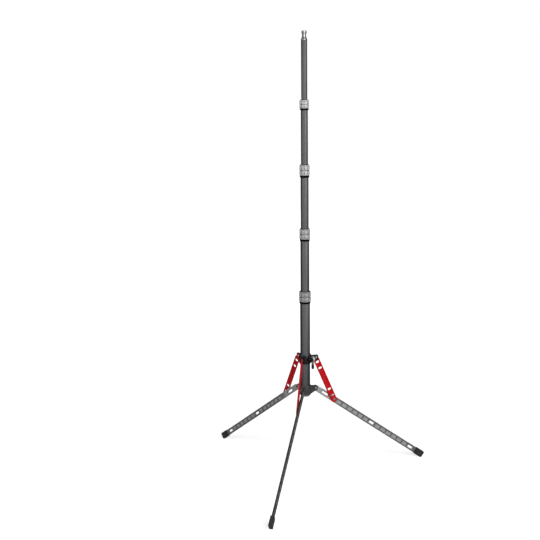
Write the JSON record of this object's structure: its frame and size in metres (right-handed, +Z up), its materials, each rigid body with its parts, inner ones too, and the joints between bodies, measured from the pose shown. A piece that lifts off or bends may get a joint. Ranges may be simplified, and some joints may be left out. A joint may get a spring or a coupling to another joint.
{
  "type": "light stand",
  "caption": "Free-standing telescopic light stand: carbon mast with silver twist locks, a sliding clamp hub, flat milled folding legs, red stay links and rubber feet.",
  "frame": {"origin": "on the mast axis, at the flat underside of the end plug that closes the lowest tube", "axes": "+Z up along the mast, leg A along -Y, legs B and C at 120 degrees to it"},
  "size_m": [0.7476, 0.6501, 1.4315],
  "materials": {
    "carbon_tube": "woven carbon tube under a satin clear coat",
    "lock_silver": "satin silver, machined grip pads",
    "black_moulding": "black moulded, satin",
    "collet_plastic": "smooth grey acetal",
    "black_rubber": "matt black rubber",
    "white_plastic": "smooth natural nylon",
    "spigot_metal": "turned, satin",
    "plug_grey": "light grey moulded",
    "liner_plastic": "smooth grey acetal",
    "black_screw": "black oxide",
    "lever_metal": "tumbled die casting",
    "rivet_steel": "bright plated",
    "leg_aluminium": "dark grey anodised, milled",
    "link_red": "red anodised, milled"
  },
  "bodies": {
    "base": {"tube_5": "carbon_tube", "end_plug": "plug_grey", "lower_hub": "black_moulding", "leg_pins": "rivet_steel", "leg_washers": "white_plastic", "lock_bush_4": "black_moulding", "collet_4": "collet_plastic"},
    "section_4": {"tube_4": "carbon_tube", "guide_sleeve_4": "white_plastic", "lock_bush_3": "black_moulding", "collet_3": "collet_plastic"},
    "section_3": {"tube_3": "carbon_tube", "guide_sleeve_3": "white_plastic", "lock_bush_2": "black_moulding", "collet_2": "collet_plastic"},
    "section_2": {"tube_2": "carbon_tube", "guide_sleeve_2": "white_plastic", "lock_bush_1": "black_moulding", "collet_1": "collet_plastic"},
    "section_1": {"tube_1": "carbon_tube", "guide_sleeve_1": "white_plastic", "spigot": "spigot_metal"},
    "lock_4": {"lock_nut_4": "lock_silver", "wiper_seal_4": "black_rubber"},
    "lock_3": {"lock_nut_3": "lock_silver", "wiper_seal_3": "black_rubber"},
    "lock_2": {"lock_nut_2": "lock_silver", "wiper_seal_2": "black_rubber"},
    "lock_1": {"lock_nut_1": "lock_silver", "wiper_seal_1": "black_rubber"},
    "sliding_hub": {"upper_hub": "black_moulding", "hub_liner": "liner_plastic", "clamp_screw": "black_screw", "clamp_washer": "black_screw", "link_pins": "rivet_steel", "link_washers": "white_plastic"},
    "lever": {"clamp_lever": "lever_metal"},
    "stay_a": {"link_a": "link_red", "knee_rivet_a": "rivet_steel"},
    "folding_leg_a": {"leg_a": "leg_aluminium", "foot_cap_a": "black_rubber", "knee_stud_a": "rivet_steel"},
    "stay_b": {"link_b": "link_red", "knee_rivet_b": "rivet_steel"},
    "folding_leg_b": {"leg_b": "leg_aluminium", "foot_cap_b": "black_rubber", "knee_stud_b": "rivet_steel"},
    "stay_c": {"link_c": "link_red", "knee_rivet_c": "rivet_steel"},
    "folding_leg_c": {"leg_c": "leg_aluminium", "foot_cap_c": "black_rubber", "knee_stud_c": "rivet_steel"}
  },
  "joints": [
    {"name": "section_4_slide", "type": "slide", "parent": "base", "child": "section_4", "axis": [0, 0, 1], "range_m": [-0.161, 0.1], "stiffness_N_per_m": 5, "springref_m": 0.518},
    {"name": "section_3_slide", "type": "slide", "parent": "section_4", "child": "section_3", "axis": [0, 0, 1], "range_m": [-0.1595, 0.1], "stiffness_N_per_m": 5, "springref_m": 0.405},
    {"name": "section_2_slide", "type": "slide", "parent": "section_3", "child": "section_2", "axis": [0, 0, 1], "range_m": [-0.1655, 0.1], "stiffness_N_per_m": 5, "springref_m": 0.298},
    {"name": "section_1_slide", "type": "slide", "parent": "section_2", "child": "section_1", "axis": [0, 0, 1], "range_m": [-0.1755, 0.1], "stiffness_N_per_m": 5, "springref_m": 0.2055},
    {"name": "lock_4_twist", "type": "hinge", "parent": "base", "child": "lock_4", "pos_m": [0, 0, 0.3335], "axis": [0, 0, 1], "range_deg": [0, 90]},
    {"name": "lock_3_twist", "type": "hinge", "parent": "section_4", "child": "lock_3", "pos_m": [0, 0, 0.5375], "axis": [0, 0, 1], "range_deg": [0, 90]},
    {"name": "lock_2_twist", "type": "hinge", "parent": "section_3", "child": "lock_2", "pos_m": [0, 0, 0.74], "axis": [0, 0, 1], "range_deg": [0, 90]},
    {"name": "lock_1_twist", "type": "hinge", "parent": "section_2", "child": "lock_1", "pos_m": [0, 0, 0.944], "axis": [0, 0, 1], "range_deg": [0, 90]},
    {"name": "leg_a_fold", "type": "hinge", "parent": "base", "child": "folding_leg_a", "pos_m": [0, -0.034, 0.025], "axis": [-1, 0, 0], "range_deg": [0, 126], "stiffness_Nm_per_rad": 2, "springref_deg": -68.75},
    {"name": "leg_b_fold", "type": "hinge", "parent": "base", "child": "folding_leg_b", "pos_m": [0.02944, 0.017, 0.025], "axis": [0.5, -0.866, 0], "range_deg": [0, 126], "stiffness_Nm_per_rad": 2, "springref_deg": -68.75},
    {"name": "leg_c_fold", "type": "hinge", "parent": "base", "child": "folding_leg_c", "pos_m": [-0.02944, 0.017, 0.025], "axis": [0.5, 0.866, 0], "range_deg": [0, 126], "stiffness_Nm_per_rad": 2, "springref_deg": -68.75},
    {"name": "hub_slide", "type": "slide", "parent": "base", "child": "sliding_hub", "axis": [0, 0, 1], "range_m": [0, 0.1403]},
    {"name": "stay_a_fold", "type": "hinge", "parent": "sliding_hub", "child": "stay_a", "pos_m": [0, -0.034, 0.13], "axis": [1, 0, 0], "range_deg": [0, 23.1]},
    {"name": "stay_b_fold", "type": "hinge", "parent": "sliding_hub", "child": "stay_b", "pos_m": [0.02944, 0.017, 0.13], "axis": [-0.5, 0.866, 0], "range_deg": [0, 23.1]},
    {"name": "stay_c_fold", "type": "hinge", "parent": "sliding_hub", "child": "stay_c", "pos_m": [-0.02944, 0.017, 0.13], "axis": [-0.5, -0.866, 0], "range_deg": [0, 23.1]},
    {"name": "clamp_lever_turn", "type": "hinge", "parent": "sliding_hub", "child": "lever", "pos_m": [0.02375, -0.01993, 0.131], "axis": [-0.6428, -0.766, 0], "range_deg": [0, 100]}
  ],
  "couplings": [
    {"joint": "leg_b_fold", "follows": "leg_a_fold", "ratio": 1},
    {"joint": "leg_c_fold", "follows": "leg_a_fold", "ratio": 1},
    {"joint": "hub_slide", "follows": "leg_a_fold", "m_per_rad": 0.063765},
    {"joint": "stay_a_fold", "follows": "leg_a_fold", "ratio": 0.18302},
    {"joint": "stay_b_fold", "follows": "leg_a_fold", "ratio": 0.18302},
    {"joint": "stay_c_fold", "follows": "leg_a_fold", "ratio": 0.18302}
  ]
}
